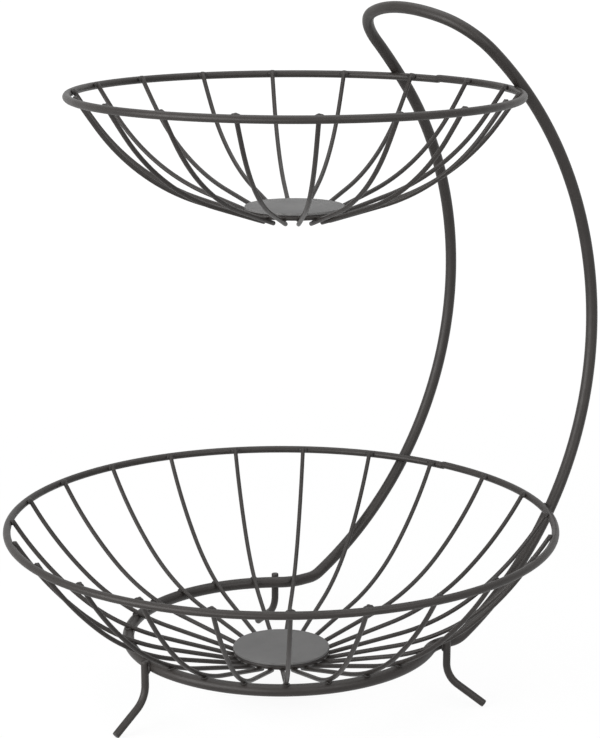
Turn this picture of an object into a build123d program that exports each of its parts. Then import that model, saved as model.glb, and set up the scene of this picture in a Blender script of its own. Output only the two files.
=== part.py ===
from build123d import *
import os
from math import cos, radians, sin, sqrt, tan

# Rod diameters
frame_rod = 6.5
rim_rod = 4.2
foot_rod = 4.2
spoke_rod = 2.5
hub_rod = 3.2

# How far crossing rods sink into each other where they are welded
weld_sink = 0.4

# The two baskets: widths over the rim rods, and the height between the rims
lower_width = 305.0
upper_width = 245.0
rim_spacing = 234.8

# Whole turns in degrees
quarter_turn = 90
full_turn = 360

# Spokes: how many, how far the first is turned to the left of the rear line, and how far
# the evenly spaced turns drift toward a heading that is turned from the right side
lower_spoke_count = 23
lower_first_turn = 1.4
lower_spoke_drift = 2.7
upper_spoke_count = 18
upper_first_turn = -0.5
upper_spoke_drift = 1.6
drift_heading = 224.0

# Spoke shape, from the rim down: slope at the rim, long flank arc, round bend, sloping floor
lower_rim_slope = 59.5
lower_flank_radius = 191.0
lower_flank_turn = 16.9
lower_bend_radius = 110.0
lower_floor_slope = 14.7
upper_rim_slope = 57.4
upper_flank_radius = 400.0
upper_flank_turn = 3.0
upper_bend_radius = 111.0
upper_floor_slope = 18.4

# How far a spoke's tip stands past its seat on the rim
tip_length = 0.6

# Discs in the middle of the baskets, and the inner end of the spokes under them
lower_disc_width = 54.0
upper_disc_width = 54.0
disc_thickness = 1.5
disc_edge_radius = 0.5
lower_spoke_inset = 5.1
upper_spoke_inset = 6.8

# Frame rod, from the middle of the ring's front: ring, bend out, bend up, bow, sides and top
ring_inset = 65.1
ring_turn = 125.3
outward_bend_radius = 22.0
upright_splay = -2.0
upward_bend_radius = 16.0
upward_bend_turn = 30.6
upright_lean = 2.8
bow_radius = 195.5
bow_turn = 98.7
handle_side_radius = 236.7
handle_side_turn = 8.9
handle_side_twist = 59.0
handle_corner_radius = 32.9
handle_top_turn = 23.5

# Feet: short bent rods on the outer side of the ring
stub_rise = 3.9
leg_drop = 10.0
toe_bend_radius = 15.0
toe_slope = 54.5
toe_length = 18.2
right_foot_turn = 33.0
left_foot_turn = 123.8
front_toe_heading = 172.0
right_toe_heading = 45.0
left_toe_heading = 84.0

# Small steps that find where rods come to touch
touch_steps = 14

X = Vector(1, 0, 0)
Y = Vector(0, 1, 0)
Z = Vector(0, 0, 1)


def bend(start, heading, radius, turn, toward):
    """An arc from start along heading that turns by some degrees toward a side."""
    side = (toward - heading * heading.dot(toward)).normalized()

    def point(angle):
        return start + (heading * sin(angle) + side * (1 - cos(angle))) * radius

    turn = radians(turn)
    arc = ThreePointArc(start, point(turn / 2), point(turn))
    return arc, point(turn), heading * cos(turn) + side * sin(turn), side * cos(turn) - heading * sin(turn)


def tube(edges, diameter):
    """A round rod along tangent edges."""
    path = Wire(edges)
    section = Plane(origin=path @ 0, z_dir=path % 0) * Circle(diameter / 2)
    return sweep(section, path=path)


def seat(first_rod, second_rod):
    """The distance between the middles of two rods that are welded crosswise."""
    return (first_rod + second_rod) / 2 - weld_sink


def rim_radius(width):
    return (width - rim_rod) / 2


def hub_radius(disc_width):
    return (disc_width - hub_rod) / 2


def turned(solid, angle):
    """The solid turned about the basket's axis from +X by an angle in degrees."""
    return solid.rotate(Axis.Z, angle)


class SpokeShape:
    """One spoke's middle line over +X, with its basket's rim at height zero."""

    def __init__(self, width, disc_width, inset, rim_slope, flank_radius, flank_turn, bend_radius, floor_slope):
        slope = radians(rim_slope)
        down = Vector(-cos(slope), 0, -sin(slope))
        inward = Vector(-sin(slope), 0, cos(slope))
        tip = X * rim_radius(width) + inward * seat(rim_rod, spoke_rod) - down * tip_length
        flank, knee, heading, inward = bend(tip, down, flank_radius, flank_turn, inward)
        self.bend_radius = bend_radius
        self.bend_middle = knee + inward * bend_radius
        rest = rim_slope - flank_turn - floor_slope
        floor_bend, foot, heading, inward = bend(knee, heading, bend_radius, rest, inward)
        self.inner_reach = disc_width / 2 - inset
        self.floor_slope = radians(floor_slope)
        run = (foot.X - self.inner_reach) / cos(self.floor_slope)
        self.inner_end = foot + heading * run
        self.edges = [flank, floor_bend, Line(foot, self.inner_end)]

    def height_under_bend(self, radius, gap):
        """How high a ring of this radius lies when it hangs below the bend by the gap."""
        reach = self.bend_radius + gap
        return self.bend_middle.Z - sqrt(reach ** 2 - (radius - self.bend_middle.X) ** 2)

    def height_on_floor(self, radius, gap):
        """How high a ring of this radius lies when it rests on the sloping floor."""
        floor_height = self.inner_end.Z + (radius - self.inner_reach) * tan(self.floor_slope)
        return floor_height + gap / cos(self.floor_slope)


lower_shape = SpokeShape(
    lower_width, lower_disc_width, lower_spoke_inset, lower_rim_slope,
    lower_flank_radius, lower_flank_turn, lower_bend_radius, lower_floor_slope,
)
upper_shape = SpokeShape(
    upper_width, upper_disc_width, upper_spoke_inset, upper_rim_slope,
    upper_flank_radius, upper_flank_turn, upper_bend_radius, upper_floor_slope,
)

ring_radius = rim_radius(lower_width) - ring_inset
ring_height = lower_shape.height_under_bend(ring_radius, seat(frame_rod, spoke_rod))


class FrameLine:
    """The right half of the frame rod's middle line, from the ring's front to the handle's top."""

    def __init__(self, straight_run):
        self.front = Vector(0, -ring_radius, ring_height)
        self.ring, point, heading, side = bend(self.front, X, ring_radius, ring_turn, Y)
        self.ring_end = point
        self.ring_end_heading = heading
        self.ring_end_outward = -side
        outward_turn = ring_turn - quarter_turn - upright_splay
        self.outward_bend, point, heading, side = bend(
            point, heading, outward_bend_radius, outward_turn, self.ring_end_outward)
        run_end = point + heading * straight_run
        self.run = Line(point, run_end)
        lean = radians(upright_lean)
        upward = Z * cos(lean) - X * sin(lean)
        self.upward_bend, point, heading, side = bend(
            run_end, heading, upward_bend_radius, upward_bend_turn, upward)
        self.bow, point, heading, side = bend(point, heading, bow_radius, bow_turn, side)
        inward = (heading * heading.dot(X) - X).normalized()
        over = (side - inward * side.dot(inward)).normalized()
        twist = radians(handle_side_twist)
        self.handle_side, point, heading, side = bend(
            point, heading, handle_side_radius, handle_side_turn, inward * cos(twist) + over * sin(twist))
        corner_turn = (-X).get_angle(heading) - handle_top_turn
        self.corner, point, heading, side = bend(
            point, heading, handle_corner_radius, corner_turn, -X)
        top_radius = point.X / sin(radians(handle_top_turn))
        self.top, point, heading, side = bend(point, heading, top_radius, handle_top_turn, -X)
        self.edges = [
            self.ring, self.outward_bend, self.run, self.upward_bend,
            self.bow, self.handle_side, self.corner, self.top,
        ]

    def clearance(self, rim, rim_middle):
        """The distance from the upright's middle line to a rim's, below zero when it runs inside."""
        uprights = (self.upward_bend, self.bow, self.handle_side)
        nearest = min((edge.distance_to_with_closest_points(rim) for edge in uprights), key=lambda found: found[0])
        distance, on_upright, on_rim = nearest
        outside = (on_upright - on_rim).dot(on_rim - rim_middle) > 0
        return distance if outside else -distance


def rim_circle(width, middle):
    """The middle line of a rim."""
    return Edge.make_circle(rim_radius(width), Plane(origin=middle))


def find_straight_run():
    """The run before the upward bend that brings the upright against the lower rim."""
    run = upward_bend_radius / 10
    middle = Vector(0, 0, 0)
    rim = rim_circle(lower_width, middle)
    for step in range(touch_steps):
        run += seat(frame_rod, rim_rod) - FrameLine(run).clearance(rim, middle)
    return run


def find_upper_back(line):
    """How far back the upper basket stands so that its rim lies against the uprights."""
    back = 0
    for step in range(touch_steps):
        middle = Vector(0, back, rim_spacing)
        back += line.clearance(rim_circle(upper_width, middle), middle) - seat(frame_rod, rim_rod)
    return back


frame_line = FrameLine(find_straight_run())
upper_back = find_upper_back(frame_line)


def make_frame():
    """The frame is one rod: ring, two uprights and handle, the same on both sides."""
    half = tube(frame_line.edges, frame_rod)
    return half + mirror(half, about=Plane.YZ)


def make_rim(width, frame, place):
    rim = place * Torus(rim_radius(width), rim_rod / 2)
    return rim - frame


def make_disc(shape, disc_width):
    """A flat round plate with eased edges that lies on its wire ring."""
    hub_height = shape.height_on_floor(hub_radius(disc_width), seat(hub_rod, spoke_rod))
    under = hub_height + hub_rod / 2 - weld_sink
    plate = Pos(0, 0, under + disc_thickness / 2) * Cylinder(disc_width / 2, disc_thickness)
    return fillet(plate.edges(), disc_edge_radius)


def make_hub(shape, disc_width, disc):
    """The wire ring that joins the spokes' inner ends under the disc."""
    hub_height = shape.height_on_floor(hub_radius(disc_width), seat(hub_rod, spoke_rod))
    hub = Pos(0, 0, hub_height) * Torus(hub_radius(disc_width), hub_rod / 2)
    return hub - disc


def make_spokes(shape, count, first_turn, drift, rim, hub, frame, place):
    """All spokes of a basket, each cut to sit on the rods that it crosses."""
    blank = tube(shape.edges, spoke_rod)
    spokes = []
    for number in range(count):
        even = quarter_turn + first_turn + number * full_turn / count
        spoke = place * turned(blank, even + drift * cos(radians(even - drift_heading)))
        spokes.append(spoke - rim - hub - frame)
    return spokes


def make_foot(ring_point, outward, toe_heading, frame):
    """A rod with a stub beside the ring, a straight leg and a toe that bends outward."""
    axis = ring_point + outward * seat(frame_rod, foot_rod)
    top = axis + Z * stub_rise
    knee = axis - Z * leg_drop
    toe_bend, ankle, heading, side = bend(knee, -Z, toe_bend_radius, toe_slope, toe_heading)
    toe = Line(ankle, ankle + heading * toe_length)
    return tube([Line(top, knee), toe_bend, toe], foot_rod) - frame


def outward_bend_seat():
    """The place on the ring's outward bend where the right foot stands, and its outer side."""
    arc, point, heading, side = bend(
        frame_line.ring_end, frame_line.ring_end_heading,
        outward_bend_radius, right_foot_turn, frame_line.ring_end_outward)
    return point, side


def ring_seat(turn):
    """A place on the ring, turned from its front to the right, and its outer side."""
    arc, point, heading, side = bend(frame_line.front, X, ring_radius, turn, Y)
    return point, -side


def mirrored(vector):
    return Vector(-vector.X, vector.Y, vector.Z)


def toe_direction(angle):
    """The level direction that is turned from the rear to the right by some degrees."""
    return Y * cos(radians(angle)) + X * sin(radians(angle))


level = Pos(0, 0, 0)
raised = Pos(0, upper_back, rim_spacing)

frame = make_frame()
right_point, right_outward = outward_bend_seat()
left_point, left_outward = ring_seat(left_foot_turn)
lower_disc = make_disc(lower_shape, lower_disc_width)
upper_disc = make_disc(upper_shape, upper_disc_width)
parts = {
    "frame_rod": frame,
    "lower_rim": make_rim(lower_width, frame, level),
    "upper_rim": make_rim(upper_width, frame, raised),
    "lower_disc": lower_disc,
    "upper_disc": raised * upper_disc,
    "lower_hub_ring": make_hub(lower_shape, lower_disc_width, lower_disc),
    "upper_hub_ring": raised * make_hub(upper_shape, upper_disc_width, upper_disc),
    "front_foot": make_foot(frame_line.front, -Y, toe_direction(front_toe_heading), frame),
    "right_foot": make_foot(right_point, right_outward, toe_direction(right_toe_heading), frame),
    "left_foot": make_foot(mirrored(left_point), mirrored(left_outward),
                           mirrored(toe_direction(left_toe_heading)), frame),
}
lower_set = make_spokes(lower_shape, lower_spoke_count, lower_first_turn, lower_spoke_drift,
                        parts["lower_rim"], parts["lower_hub_ring"], frame, level)
upper_set = make_spokes(upper_shape, upper_spoke_count, upper_first_turn, upper_spoke_drift,
                        parts["upper_rim"], parts["upper_hub_ring"], frame, raised)
for number, spoke in enumerate(lower_set, 1):
    parts[f"lower_spoke_{number:02d}"] = spoke
for number, spoke in enumerate(upper_set, 1):
    parts[f"upper_spoke_{number:02d}"] = spoke

# The part stands on the floor, with its origin in the middle of its footprint box
box = Compound(children=[part.solid() for part in parts.values()]).bounding_box()
stand = Pos(-box.center().X, -box.center().Y, -box.min.Z)

os.makedirs("parts", exist_ok=True)
for name, part in parts.items():
    export_step((stand * part).solid(), f"parts/{name}.step")
print("box", box.size, "upper basket set back", upper_back, "straight run", frame_line.run.length)
print("basket axis", stand.position)
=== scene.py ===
import math
import bmesh
import bpy
from mathutils import Matrix, Vector, noise


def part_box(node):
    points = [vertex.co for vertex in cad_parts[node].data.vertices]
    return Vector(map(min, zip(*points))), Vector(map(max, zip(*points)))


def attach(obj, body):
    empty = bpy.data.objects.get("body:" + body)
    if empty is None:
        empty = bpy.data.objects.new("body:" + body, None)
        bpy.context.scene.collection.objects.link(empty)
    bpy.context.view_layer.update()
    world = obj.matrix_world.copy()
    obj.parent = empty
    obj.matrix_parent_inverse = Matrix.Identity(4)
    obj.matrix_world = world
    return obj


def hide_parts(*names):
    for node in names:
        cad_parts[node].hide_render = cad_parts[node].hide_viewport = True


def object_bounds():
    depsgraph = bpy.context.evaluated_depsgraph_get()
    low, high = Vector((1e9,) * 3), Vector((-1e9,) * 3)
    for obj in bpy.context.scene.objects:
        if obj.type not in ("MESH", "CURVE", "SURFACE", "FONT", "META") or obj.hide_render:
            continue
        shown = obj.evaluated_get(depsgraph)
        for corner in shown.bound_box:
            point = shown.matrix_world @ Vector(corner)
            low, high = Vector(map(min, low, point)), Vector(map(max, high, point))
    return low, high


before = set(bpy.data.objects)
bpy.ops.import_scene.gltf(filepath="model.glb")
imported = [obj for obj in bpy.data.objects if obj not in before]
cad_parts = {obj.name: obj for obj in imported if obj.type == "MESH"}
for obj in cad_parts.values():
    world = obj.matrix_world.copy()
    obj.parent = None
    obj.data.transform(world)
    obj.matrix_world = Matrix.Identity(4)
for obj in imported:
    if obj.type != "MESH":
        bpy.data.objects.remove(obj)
cad_low, cad_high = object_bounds()

MM = 0.001
X = Vector((1, 0, 0))
Y = Vector((0, 1, 0))
Z = Vector((0, 0, 1))

# Lengths are in metres, and turns, slopes, leans and headings in degrees.

# Diameters of the rods, and how deep one sinks into another at a weld
FRAME_ROD = 6.5 * MM
RIM_ROD = 4.2 * MM
FOOT_ROD = 4.2 * MM
SPOKE_ROD = 2.5 * MM
HUB_ROD = 3.2 * MM
WELD_SINK = 0.4 * MM


def crossing(first_rod, second_rod):
    """How far apart the middle lines of two rods lie that are welded crosswise."""
    return (first_rod + second_rod) / 2 - WELD_SINK


# The lines that the rods follow

COARSEST_BEND = math.radians(3)


class RodLine:
    """Points along a rod that runs straight and bends round arcs."""

    def __init__(self, start, heading, spacing=4.0 * MM):
        self.points = [start.copy()]
        self.heading = heading.normalized()
        self.side = None
        self.spacing = spacing

    @property
    def end(self):
        return self.points[-1]

    def run(self, length):
        count = max(1, round(abs(length) / self.spacing))
        start = self.end
        for index in range(1, count + 1):
            self.points.append(start + self.heading * length * index / count)

    def bend(self, radius, turn, toward=None):
        """Bend by some degrees toward a side, or on toward the side of the bend before."""
        toward = self.side if toward is None else toward
        side = (toward - self.heading * self.heading.dot(toward)).normalized()
        turn = math.radians(turn)
        count = max(2, math.ceil(turn / COARSEST_BEND), math.ceil(turn * radius / self.spacing))
        start, heading = self.end, self.heading
        for index in range(1, count + 1):
            angle = turn * index / count
            step = heading * math.sin(angle) + side * (1 - math.cos(angle))
            self.points.append(start + step * radius)
        self.heading = heading * math.cos(turn) + side * math.sin(turn)
        self.side = side * math.cos(turn) - heading * math.sin(turn)


def cross_frames(points, closed):
    """At each point two directions square to the rod, kept from twisting, and the rod's own."""
    count = len(points)
    tangents = []
    for index in range(count):
        before = points[index - 1] if closed or index > 0 else points[0]
        after = points[(index + 1) % count] if closed or index < count - 1 else points[-1]
        tangents.append((after - before).normalized())
    first = tangents[0].orthogonal().normalized()
    frames = []
    for tangent in tangents:
        first = (first - tangent * first.dot(tangent)).normalized()
        frames.append((first, tangent.cross(first), tangent))
    return frames


# Meshes and pieces

def new_piece(name, mesh, material):
    """An object for a finished mesh that rides with the basket."""
    for face in mesh.faces:
        face.smooth = True
    data = bpy.data.meshes.new(name)
    mesh.normal_update()
    mesh.to_mesh(data)
    mesh.free()
    data.materials.append(material)
    piece = bpy.data.objects.new(name, data)
    bpy.context.collection.objects.link(piece)
    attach(piece, "root")
    return piece


def join_rings(mesh, rings):
    """Faces from each ring of corners to the next."""
    for ring, following in zip(rings, rings[1:]):
        count = len(ring)
        for index in range(count):
            after = (index + 1) % count
            mesh.faces.new((ring[index], ring[after], following[after], following[index]))


def close_ends(mesh, rings):
    """A flat face over the first ring and one over the last."""
    mesh.faces.new(rings[0][::-1])
    mesh.faces.new(rings[-1])


END_ROUNDING = 0.35 * MM


def add_rod(mesh, points, diameter, sides, closed):
    """Skin a round rod over its line, with eased edges on open ends."""
    frames = cross_frames(points, closed)
    spots = list(zip(points, frames, [diameter / 2] * len(points)))
    if not closed:
        eased = []
        for angle in (90, 60, 30):
            back = END_ROUNDING * (1 - math.sin(math.radians(angle)))
            shrink = END_ROUNDING * (1 - math.cos(math.radians(angle)))
            eased.append((back, diameter / 2 - shrink))
        first_frame, last_frame = frames[0], frames[-1]
        head = [(points[0] + first_frame[2] * back, first_frame, radius) for back, radius in eased]
        tail = [(points[-1] - last_frame[2] * back, last_frame, radius) for back, radius in eased]
        spots = head + spots[1:-1] + tail[::-1]
    rings = []
    for point, (first, second, _), radius in spots:
        ring = []
        for index in range(sides):
            angle = 2 * math.pi * index / sides
            out = first * math.cos(angle) + second * math.sin(angle)
            ring.append(mesh.verts.new(point + out * radius))
        rings.append(ring)
    if closed:
        join_rings(mesh, rings + rings[:1])
    else:
        join_rings(mesh, rings)
        close_ends(mesh, rings)


def rod_piece(node, points, diameter, sides=20, closed=False):
    """A coated rod in place of the CAD node that has the same line."""
    mesh = bmesh.new()
    add_rod(mesh, points, diameter, sides, closed)
    piece = new_piece(f"coated_{node}", mesh, rod_coat)
    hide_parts(node)


def add_turned_shape(mesh, profile, centre, sides=96):
    """Revolve a profile of radii and heights about an upright axis and close its ends."""
    rings = []
    for radius, height in profile:
        ring = []
        for index in range(sides):
            angle = 2 * math.pi * index / sides
            corner = Vector((radius * math.cos(angle), radius * math.sin(angle), height))
            ring.append(mesh.verts.new(centre + corner))
        rings.append(ring)
    join_rings(mesh, rings)
    close_ends(mesh, rings)


# Finishes

# A Mix node has sockets for every type of data; these are the ones that mix colours.
MIX_SHARE, MIX_FIRST, MIX_SECOND, MIX_RESULT = 0, 6, 7, 2


class Reading:
    """A value that changes over a surface; sums and products of it add Math nodes."""

    def __init__(self, finish, socket):
        self.finish = finish
        self.socket = socket

    def _math(self, operation, other):
        return self.finish.node("ShaderNodeMath", {"operation": operation}, {0: self, 1: other})

    def __add__(self, other):
        return self._math("ADD", other)

    __radd__ = __add__

    def __mul__(self, other):
        return self._math("MULTIPLY", other)

    __rmul__ = __mul__


class Finish:
    """The nodes of one material, or of the world."""

    def __init__(self, owner):
        self.owner = owner
        self.owner.use_nodes = True
        self.tree = self.owner.node_tree
        self.tree.nodes.clear()

    def node(self, kind, settings=None, inputs=None, output=0):
        """Add a node: its settings first, then the values or links of its sockets."""
        made = self.tree.nodes.new(kind)
        for key, value in (settings or {}).items():
            if key == "stops":
                for index, (place, colour) in enumerate(value):
                    if index > 1:
                        made.color_ramp.elements.new(place)
                    made.color_ramp.elements[index].position = place
                    made.color_ramp.elements[index].color = colour
            else:
                setattr(made, key, value)
        for key, value in (inputs or {}).items():
            if isinstance(value, Reading):
                self.tree.links.new(value.socket, made.inputs[key])
            else:
                made.inputs[key].default_value = value
        return Reading(self, made.outputs[output]) if made.outputs else None

    def place(self):
        """The place on the piece in metres."""
        return self.node("ShaderNodeTexCoord", output="Object")

    def noise(self, size, detail=2.0, roughness=0.5):
        """Smooth noise from 0 to 1 whose spots are about this large."""
        inputs = {
            "Vector": self.place(), "Scale": 1 / size, "Detail": detail, "Roughness": roughness}
        return self.node("ShaderNodeTexNoise", None, inputs, "Fac")

    def mix(self, share, first, second):
        """A colour between two, by a share from 0 to 1."""
        inputs = {MIX_SHARE: share, MIX_FIRST: first, MIX_SECOND: second}
        return self.node("ShaderNodeMix", {"data_type": "RGBA"}, inputs, MIX_RESULT)

    def ramp(self, value, stops):
        """A value stretched between stops, each a place and its tone."""
        grey = [(place, (tone, tone, tone, 1)) for place, tone in stops]
        return self.node("ShaderNodeValToRGB", {"stops": grey}, {0: value}, "Color")

    def bump(self, height, strength, distance):
        inputs = {"Height": height, "Strength": strength, "Distance": distance}
        return self.node("ShaderNodeBump", None, inputs)

    def ray(self, kind):
        """1 for rays of this kind, 0 for all others."""
        return self.node("ShaderNodeLightPath", output=f"Is {kind} Ray")

    def seen_as_background(self):
        """1 for rays that show the studio behind the basket or in its gloss, 0 for its light."""
        return self.ray("Camera") + self.ray("Glossy") + self.ray("Transmission")

    def surface(self, **sockets):
        """Close the material with its shader; names of sockets have _ for spaces."""
        inputs = {key.replace("_", " "): value for key, value in sockets.items()}
        shader = self.node("ShaderNodeBsdfPrincipled", None, inputs)
        self.node("ShaderNodeOutputMaterial", None, {"Surface": shader})
        return self.owner


# Sizes of the spots in the powder coat, and the depth of its orange peel
CLOUD_SIZE = 28 * MM
GRAIN_SIZE = 1.1 * MM
PATCH_SIZE = 9 * MM
RUN_SIZE = 6 * MM
PEEL_SIZE = 0.8 * MM
PEEL_DEPTH = 0.2 * MM


def powder_coat(name, dark, light, roughness, gloss):
    """Baked-on satin coat: a fine orange peel, faint clouds of tone and a few duller patches."""
    finish = Finish(bpy.data.materials.new(name))
    clouds = finish.ramp(finish.noise(CLOUD_SIZE, 3.0), [(0.30, 0.0), (0.72, 1.0)])
    grain = finish.ramp(finish.noise(GRAIN_SIZE), [(0.35, 0.0), (0.68, 1.0)])
    patches = finish.ramp(finish.noise(PATCH_SIZE, 4.0, 0.6), [(0.35, 0.0), (0.75, 1.0)])
    tone = clouds * 0.75 + grain * 0.25
    height = finish.noise(PEEL_SIZE) * 0.5 + finish.noise(RUN_SIZE)
    return finish.surface(
        Base_Color=finish.mix(tone, dark, light),
        Roughness=roughness + patches * 0.09 + grain * 0.04,
        Specular_IOR_Level=gloss,
        Normal=finish.bump(height, 0.10, PEEL_DEPTH),
    )


rod_coat = powder_coat(
    "rod_coat", (0.0145, 0.0121, 0.0108, 1), (0.026, 0.0224, 0.0204, 1), roughness=0.40, gloss=0.33)
# The plates' light grey is painted sheen: the same dark coat as the rods looks this light only
# where it reflects the bright studio at a grazing angle.
plate_coat_painted_sheen = powder_coat(
    "plate_coat_painted_sheen", (0.150, 0.149, 0.148, 1), (0.188, 0.186, 0.184, 1), roughness=0.50, gloss=0.10)
# The weld beads are painted darker than the rods, as painted shade where the rods cross.
weld_coat_painted_shade = powder_coat(
    "weld_coat_painted_shade", (0.010, 0.0084, 0.0075, 1), (0.018, 0.0155, 0.0140, 1), roughness=0.44, gloss=0.33)


# Baskets

TIP_LENGTH = 0.6 * MM
DRIFT_HEADING = 224.0


def middle(node):
    low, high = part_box(node)
    return (Vector(low) + Vector(high)) / 2


def width(node):
    low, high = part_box(node)
    return high[0] - low[0]


class Basket:
    """Where one basket's rim, spokes, hub ring and disc lie."""

    def __init__(self, tier, spoke_count, first_turn, drift, rim_slope, flank_radius, flank_turn,
                 bend_radius, floor_slope, inset, butt_turn):
        self.tier = tier
        self.spoke_count = spoke_count
        self.first_turn = first_turn
        self.drift = drift
        self.rim_slope = rim_slope
        self.flank_radius = flank_radius
        self.flank_turn = flank_turn
        self.bend_radius = bend_radius
        self.floor_slope = floor_slope
        self.inset = inset
        self.butt_turn = butt_turn
        self.centre = middle(f"{tier}_rim")
        self.rim_radius = (width(f"{tier}_rim") - RIM_ROD) / 2
        self.disc_radius = width(f"{tier}_disc") / 2
        self.hub_radius = self.disc_radius - HUB_ROD / 2
        self.hub_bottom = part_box(f"{tier}_hub_ring")[0][2]

    def on_axis(self, height):
        """The point at this height on the basket's upright axis."""
        return Vector((self.centre.x, self.centre.y, height))

    def spoke_turns(self):
        """The spokes' turns from +X, evenly spaced but for a small drift toward one side."""
        turns = []
        for number in range(self.spoke_count):
            even = 90 + self.first_turn + number * 360 / self.spoke_count
            turns.append(even + self.drift * math.cos(math.radians(even - DRIFT_HEADING)))
        return turns

    def spoke_points(self):
        """One spoke's middle line over +X, from the rim's centre."""
        slope = math.radians(self.rim_slope)
        down = Vector((-math.cos(slope), 0, -math.sin(slope)))
        inward = Vector((-math.sin(slope), 0, math.cos(slope)))
        seat = X * self.rim_radius + inward * crossing(RIM_ROD, SPOKE_ROD)
        line = RodLine(seat - down * TIP_LENGTH, down)
        line.bend(self.flank_radius, self.flank_turn, inward)
        line.bend(self.bend_radius, self.rim_slope - self.flank_turn - self.floor_slope)
        reach = self.disc_radius - self.inset
        line.run((line.end.x - reach) / math.cos(math.radians(self.floor_slope)))
        return line.points


lower = Basket(
    "lower", spoke_count=23, first_turn=1.4, drift=2.7, rim_slope=59.5,
    flank_radius=191 * MM, flank_turn=16.9, bend_radius=110 * MM, floor_slope=14.7,
    inset=5.1 * MM, butt_turn=103.0)
upper = Basket(
    "upper", spoke_count=18, first_turn=-0.5, drift=1.6, rim_slope=57.4,
    flank_radius=400 * MM, flank_turn=3.0, bend_radius=111 * MM, floor_slope=18.4,
    inset=6.8 * MM, butt_turn=100.7)


def turned(points, degrees, centre):
    """Points over +X turned about the basket's upright axis."""
    spin = Matrix.Rotation(math.radians(degrees), 4, "Z")
    return [centre + spin @ point for point in points]


def level_direction(degrees):
    """The level direction at a turn from +X."""
    angle = math.radians(degrees)
    return Vector((math.cos(angle), math.sin(angle), 0))


def spot(radius, degrees, centre):
    """A point at a radius and a turn from +X about an upright axis."""
    return centre + level_direction(degrees) * radius


# The two ends of a rim's rod meet a little out of line, which eases off within some degrees.
BUTT_STEP = 0.3 * MM
BUTT_EASE = 9.0
TURNS_NEAR_BUTT = [0.08, 0.5, 1, 2, 3, 4.5, 6, 8]


def butted_ring(radius, centre, butt_turn):
    """A rim's middle line, with the step where its two ends meet at the butt."""
    turns = TURNS_NEAR_BUTT + list(range(10, 180, 2))
    points = []
    for turn in turns + [180] + [360 - turn for turn in reversed(turns)]:
        side = 1 if turn < 180 else -1
        lift = -side * BUTT_STEP * math.exp(-min(turn, 360 - turn) / BUTT_EASE)
        points.append(spot(radius, butt_turn + turn, centre) + Z * lift)
    return points


for basket in (lower, upper):
    rim_line = butted_ring(basket.rim_radius, basket.centre, basket.butt_turn)
    rod_piece(f"{basket.tier}_rim", rim_line, RIM_ROD, sides=24, closed=True)
    for number, degrees in enumerate(basket.spoke_turns(), 1):
        spoke_line = turned(basket.spoke_points(), degrees, basket.centre)
        rod_piece(f"{basket.tier}_spoke_{number:02d}", spoke_line, SPOKE_ROD)


# Frame rod: ring, outward bend, upward bend, bow, and the side, corner and top of the handle

RING_TURN = 125.3
OUTWARD_BEND_RADIUS = 22 * MM
UPRIGHT_SPLAY = -2.0
UPRIGHT_LEAN = 2.8
UPWARD_BEND_RADIUS = 16 * MM
UPWARD_BEND_TURN = 30.6
BOW_RADIUS = 195.5 * MM
BOW_TURN = 98.7
HANDLE_SIDE_RADIUS = 236.7 * MM
HANDLE_SIDE_TURN = 8.9
HANDLE_SIDE_TWIST = 59.0
HANDLE_CORNER_RADIUS = 32.9 * MM
HANDLE_TOP_TURN = 23.5
SHORTEST_RUN = 0.1 * MM


class FrameRod:
    """The middle line of the right half, from the ring's front to the top of the handle."""

    def __init__(self, straight_run):
        low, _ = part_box("frame_rod")
        self.ring_height = low[2] + FRAME_ROD / 2
        self.ring_radius = lower.centre.y - low[1] - FRAME_ROD / 2
        start = Vector((0, lower.centre.y - self.ring_radius, self.ring_height))
        line = RodLine(start, X, 3.0 * MM)
        line.bend(self.ring_radius, RING_TURN, Y)
        self.ring_end = line.end.copy()
        self.ring_end_heading = line.heading.copy()
        self.ring_end_outward = -line.side
        line.bend(OUTWARD_BEND_RADIUS, RING_TURN - 90 - UPRIGHT_SPLAY, -line.side)
        line.run(straight_run)
        lean = math.radians(UPRIGHT_LEAN)
        upward = Z * math.cos(lean) - X * math.sin(lean)
        line.bend(UPWARD_BEND_RADIUS, UPWARD_BEND_TURN, upward)
        line.bend(BOW_RADIUS, BOW_TURN)
        inward = (line.heading * line.heading.x - X).normalized()
        over = (line.side - inward * line.side.dot(inward)).normalized()
        twist = math.radians(HANDLE_SIDE_TWIST)
        toward = inward * math.cos(twist) + over * math.sin(twist)
        line.bend(HANDLE_SIDE_RADIUS, HANDLE_SIDE_TURN, toward)
        corner_turn = math.degrees(math.acos(-line.heading.x)) - HANDLE_TOP_TURN
        line.bend(HANDLE_CORNER_RADIUS, corner_turn, -X)
        top_radius = line.end.x / math.sin(math.radians(HANDLE_TOP_TURN))
        line.bend(top_radius, HANDLE_TOP_TURN, -X)
        self.points = line.points


def fitted_frame_rod():
    """The frame rod whose uprights reach as far back as the CAD node does."""
    loose = FrameRod(SHORTEST_RUN)
    reach = max(point.y for point in loose.points) + FRAME_ROD / 2
    _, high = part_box("frame_rod")
    return FrameRod(SHORTEST_RUN + high[1] - reach)


def mirrored(vector):
    return Vector((-vector.x, vector.y, vector.z))


frame_rod = fitted_frame_rod()
right_half = frame_rod.points
left_half = [mirrored(point) for point in right_half]
frame_line = right_half + left_half[-2:0:-1]
rod_piece("frame_rod", frame_line, FRAME_ROD, sides=32, closed=True)


# Feet: a stub up the ring's outer side, a leg down, and a toe

STUB_RISE = 3.9 * MM
LEG_DROP = 10.0 * MM
TOE_BEND_RADIUS = 15 * MM
TOE_SLOPE = 54.5
TOE_LENGTH = 18.2 * MM
RIGHT_FOOT_TURN = 33.0
LEFT_FOOT_TURN = 123.8
FRONT_TOE_HEADING = 172
RIGHT_TOE_HEADING = 45
LEFT_TOE_HEADING = 84


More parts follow.
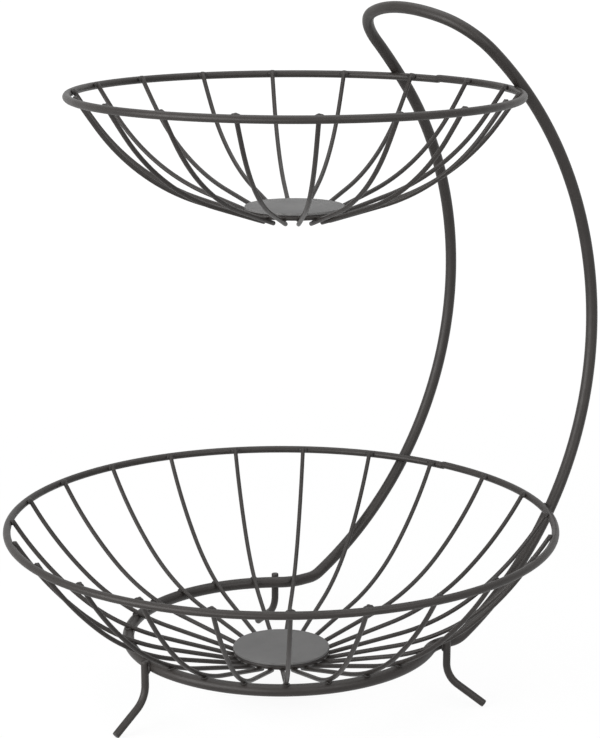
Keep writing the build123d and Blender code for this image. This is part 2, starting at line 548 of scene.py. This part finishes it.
def foot_points(ring_point, outward, toe_heading):
    """A foot's middle line beside a point of the ring's."""
    axis = ring_point + outward * crossing(FRAME_ROD, FOOT_ROD)
    line = RodLine(axis + Z * STUB_RISE, -Z, 1.6 * MM)
    line.run(STUB_RISE + LEG_DROP)
    line.bend(TOE_BEND_RADIUS, TOE_SLOPE, toe_heading)
    line.run(TOE_LENGTH)
    return line.points


def level_heading(degrees):
    """The level direction that is turned from the rear to the right."""
    return Y * math.cos(math.radians(degrees)) + X * math.sin(math.radians(degrees))


right_seat = RodLine(frame_rod.ring_end, frame_rod.ring_end_heading)
right_seat.bend(OUTWARD_BEND_RADIUS, RIGHT_FOOT_TURN, frame_rod.ring_end_outward)
left_seat = RodLine(right_half[0], X)
left_seat.bend(frame_rod.ring_radius, LEFT_FOOT_TURN, Y)

# Each foot's point on the ring's middle line, the way out from there, and the way its toe goes
feet = {
    "front_foot": (right_half[0], -Y, level_heading(FRONT_TOE_HEADING)),
    "right_foot": (right_seat.end, right_seat.side, level_heading(RIGHT_TOE_HEADING)),
    "left_foot": (mirrored(left_seat.end), mirrored(-left_seat.side),
                  mirrored(level_heading(LEFT_TOE_HEADING))),
}
for node, (ring_point, outward, toe_heading) in feet.items():
    rod_piece(node, foot_points(ring_point, outward, toe_heading), FOOT_ROD, sides=24)


# Weld beads where the rods cross: half sizes along and across the joint, and square to both

TIP_BEAD = (2.9 * MM, 1.9 * MM, 1.3 * MM)
HUB_BEAD = (1.9 * MM, 1.7 * MM, 0.9 * MM)
UPRIGHT_BEAD = (2.3 * MM, 2.4 * MM, 1.0 * MM)
RING_BEAD = (2.1 * MM, 2.3 * MM, 0.9 * MM)
FOOT_BEAD = (3.6 * MM, 1.4 * MM, 2.9 * MM)

# How far the middle of a bead lies from the point that it sits on
TIP_BEAD_DOWN = 1.5 * MM
TIP_BEAD_OUT = 0.4 * MM
HUB_BEAD_UP = 0.2 * MM
RING_BEAD_DOWN = 0.1 * MM
FOOT_BEAD_OUT = 0.2 * MM
FOOT_BEAD_DOWN = 0.6 * MM

# How far along from the rim's middle line to the upright's their weld sits
UPRIGHT_WELD_SHARE = 0.42

BEAD_UNEVENNESS = 0.10
BEAD_LUMP_SIZE = 1.6 * MM
BEAD_ROWS = 8
BEAD_SIDES = 14


def add_bead(mesh, centre, along, across, half_sizes):
    """A rounded, slightly uneven lump."""
    along = along.normalized()
    across = (across - along * across.dot(along)).normalized()
    axes = (along, across, along.cross(across))

    def surface_point(polar, angle):
        shares = (
            math.sin(polar) * math.cos(angle), math.sin(polar) * math.sin(angle), math.cos(polar))
        offset = Vector()
        for axis, size, share in zip(axes, half_sizes, shares):
            offset += axis * size * share
        lump = noise.noise((centre + offset) / BEAD_LUMP_SIZE)
        return centre + offset * (1 + BEAD_UNEVENNESS * lump)

    rings = []
    for row in range(1, BEAD_ROWS):
        polar = math.pi * row / BEAD_ROWS
        turns = [2 * math.pi * index / BEAD_SIDES for index in range(BEAD_SIDES)]
        rings.append([mesh.verts.new(surface_point(polar, turn)) for turn in turns])
    poles = [mesh.verts.new(surface_point(polar, 0)) for polar in (0, math.pi)]
    for index in range(BEAD_SIDES):
        after = (index + 1) % BEAD_SIDES
        mesh.faces.new((poles[0], rings[0][index], rings[0][after]))
        mesh.faces.new((poles[1], rings[-1][after], rings[-1][index]))
        for ring, following in zip(rings, rings[1:]):
            mesh.faces.new((ring[index], following[index], following[after], ring[after]))


def nearest_pair(rod_points, radius, centre):
    """The closest points of a rod's middle line and a level ring's."""
    pairs = []
    for point in rod_points:
        level = Vector((point.x - centre.x, point.y - centre.y, 0)).normalized()
        on_ring = centre + level * radius
        pairs.append(((point - on_ring).length, point, on_ring))
    return min(pairs, key=lambda pair: pair[0])[1:]


def turn_from_front(degrees):
    """How far a turn from +X lies from the front, to either side."""
    return abs((degrees + 90 + 180) % 360 - 180)


for basket in (lower, upper):
    rim_welds = bmesh.new()
    hub_welds = bmesh.new()
    spoke_points = basket.spoke_points()
    hub_base = basket.on_axis(basket.hub_bottom)
    for degrees in basket.spoke_turns():
        tip, below = turned(spoke_points[:2], degrees, basket.centre)
        out = level_direction(degrees)
        down = (below - tip).normalized()
        seat = tip + down * TIP_BEAD_DOWN + out * TIP_BEAD_OUT
        add_bead(rim_welds, seat, Z.cross(out), down, TIP_BEAD)
        seat = spot(basket.hub_radius, degrees, hub_base) + Z * HUB_BEAD_UP
        add_bead(hub_welds, seat, Z.cross(out), out, HUB_BEAD)
    for upright in (right_half, left_half):
        on_frame, on_rim = nearest_pair(upright, basket.rim_radius, basket.centre)
        out = on_frame - on_rim
        seat = on_rim + out * UPRIGHT_WELD_SHARE
        add_bead(rim_welds, seat, Z, Z.cross(out), UPRIGHT_BEAD)
    new_piece(f"{basket.tier}_rim_welds", rim_welds, weld_coat_painted_shade)
    new_piece(f"{basket.tier}_hub_welds", hub_welds, weld_coat_painted_shade)

ring_welds = bmesh.new()
ring_centre = Vector((0, lower.centre.y, frame_rod.ring_height))
ring_bead_rise = Z * (FRAME_ROD / 2 - RING_BEAD_DOWN)
for degrees in lower.spoke_turns():
    if turn_from_front(degrees) <= RING_TURN:
        seat = spot(frame_rod.ring_radius, degrees, ring_centre) + ring_bead_rise
        out = level_direction(degrees)
        add_bead(ring_welds, seat, Z.cross(out), out, RING_BEAD)
for ring_point, outward, _ in feet.values():
    seat = ring_point + outward * (FRAME_ROD / 2 + FOOT_BEAD_OUT) - Z * FOOT_BEAD_DOWN
    add_bead(ring_welds, seat, Z, outward, FOOT_BEAD)
new_piece("ring_welds", ring_welds, weld_coat_painted_shade)


# Hubs: a flat disc with eased edges on a wire ring

EDGE_EASE = 0.5 * MM
EDGE_STEPS = 4
HUB_RING_POINTS = 120


def disc_profile(radius, bottom, top):
    """Radii and heights round half of the disc's section, from below to above."""
    profile = [(radius / 2, bottom)]
    for height, first_turn in ((bottom + EDGE_EASE, -90), (top - EDGE_EASE, 0)):
        for step in range(EDGE_STEPS + 1):
            angle = math.radians(first_turn + 90 * step / EDGE_STEPS)
            reach = radius - EDGE_EASE + EDGE_EASE * math.cos(angle)
            profile.append((reach, height + EDGE_EASE * math.sin(angle)))
    return profile + [(radius / 2, top)]


for basket in (lower, upper):
    low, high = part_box(f"{basket.tier}_disc")
    mesh = bmesh.new()
    profile = disc_profile(basket.disc_radius, low[2], high[2])
    add_turned_shape(mesh, profile, basket.on_axis(0))
    disc = new_piece(f"coated_{basket.tier}_disc", mesh, plate_coat_painted_sheen)
    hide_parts(f"{basket.tier}_disc")
    hub_centre = basket.on_axis(basket.hub_bottom + HUB_ROD / 2)
    turns = [360 * index / HUB_RING_POINTS for index in range(HUB_RING_POINTS)]
    hub_line = [spot(basket.hub_radius, turn, hub_centre) for turn in turns]
    rod_piece(f"{basket.tier}_hub_ring", hub_line, HUB_ROD, sides=16, closed=True)


# Camera at the photograph's angle

IMAGE_HEIGHT = 738
FOCAL_PIXELS = 2069
MIDDLE_OFFSET_PIXELS = 19.0
CAMERA_DISTANCE = 1093.4 * MM
CAMERA_RISE = 344.1 * MM
VIEW_HEADING = 143.86
VIEW_PITCH = 13.244
VIEW_ROLL = -0.044

camera_data = bpy.data.cameras.new("camera")
camera_data.sensor_width = 36
camera_data.lens = FOCAL_PIXELS * camera_data.sensor_width / IMAGE_HEIGHT
camera_data.shift_x = MIDDLE_OFFSET_PIXELS / IMAGE_HEIGHT
camera = bpy.data.objects.new("camera", camera_data)
bpy.context.collection.objects.link(camera)
bpy.context.scene.camera = camera
away = level_direction(VIEW_HEADING)
camera.matrix_world = (
    Matrix.Translation(lower.centre - away * CAMERA_DISTANCE + Z * CAMERA_RISE)
    @ Matrix.Rotation(math.radians(VIEW_HEADING - 90), 4, "Z")
    @ Matrix.Rotation(math.radians(90 - VIEW_PITCH), 4, "X")
    @ Matrix.Rotation(math.radians(VIEW_ROLL), 4, "Z"))


# Floor and light

WHITE = (1, 1, 1, 1)
FLOOR_REACH = 30.0
FLOOR_GREY = (0.8, 0.8, 0.8, 1)
FLOOR_GLOW = 1.05
GLOW_SHARE_NEAR = 0.88


def add_floor():
    """A wide matt floor that keeps the basket's shadow and looks white from far and near."""
    mesh = bmesh.new()
    bmesh.ops.create_grid(mesh, x_segments=1, y_segments=1, size=FLOOR_REACH)
    data = bpy.data.meshes.new("floor")
    mesh.to_mesh(data)
    mesh.free()
    finish = Finish(bpy.data.materials.new("floor_white"))
    matt = finish.node("ShaderNodeBsdfDiffuse", None, {"Color": FLOOR_GREY})
    glow = finish.node("ShaderNodeEmission", None, {"Color": WHITE, "Strength": FLOOR_GLOW})
    length = {"operation": "LENGTH"}
    distance = finish.node("ShaderNodeVectorMath", length, {0: finish.place()}, "Value")
    far = finish.ramp(distance * 0.5, [(0.2, 0.0), (0.8, 1.0)])
    share = finish.seen_as_background() * (GLOW_SHARE_NEAR + far * (1 - GLOW_SHARE_NEAR))
    surface = finish.node("ShaderNodeMixShader", None, {0: share, 1: matt, 2: glow})
    finish.node("ShaderNodeOutputMaterial", None, {"Surface": surface})
    data.materials.append(finish.owner)
    floor = bpy.data.objects.new("floor", data)
    bpy.context.collection.objects.link(floor)


def add_world():
    """A white studio behind the basket that lights it only faintly."""
    studio = Finish(bpy.data.worlds.new("studio"))
    bpy.context.scene.world = studio.owner
    faint = {"Color": (0.9, 0.95, 1.0, 1), "Strength": 0.1}
    fill = studio.node("ShaderNodeBackground", None, faint)
    white = studio.node("ShaderNodeBackground", None, {"Color": WHITE, "Strength": 1.0})
    shares = {0: studio.seen_as_background(), 1: fill, 2: white}
    sky = studio.node("ShaderNodeMixShader", None, shares)
    studio.node("ShaderNodeOutputWorld", None, {"Surface": sky})


def add_lamp(name, place, target, size, power, colour):
    """A soft round lamp that faces the target."""
    data = bpy.data.lights.new(name, "AREA")
    data.shape = "DISK"
    data.size = size
    data.energy = power
    data.color = colour
    lamp = bpy.data.objects.new(name, data)
    bpy.context.collection.objects.link(lamp)
    turn = (target - place).to_track_quat("-Z", "Y").to_matrix().to_4x4()
    lamp.matrix_world = Matrix.Translation(place) @ turn


# Each lamp's place from the basket's middle, toward the camera, to the right and up, its width,
# its power in watts, and its colour
WARM_WHITE = (1.0, 0.99, 0.98)
LAMPS = {
    "key": ((0.9, -1.25, 0.25), 1.2, 23, WARM_WHITE),
    "fill": ((1.2, -0.4, -0.05), 0.2, 3, WARM_WHITE),
    "side": ((1.3, 0.9, 0.6), 1.0, 8, WARM_WHITE),
    "top": ((0.0, 0.0, 1.5), 2.2, 20, (1.0, 1.0, 1.0)),
}

bpy.context.scene.view_settings.view_transform = "Standard"
add_floor()
add_world()
target = (Vector(cad_low) + Vector(cad_high)) / 2
right_of_view = Vector((away.y, -away.x, 0))
for name, ((nearer, right, up), size, power, colour) in LAMPS.items():
    place = target - away * nearer + right_of_view * right + Z * up
    add_lamp(name, place, target, size, power, colour)
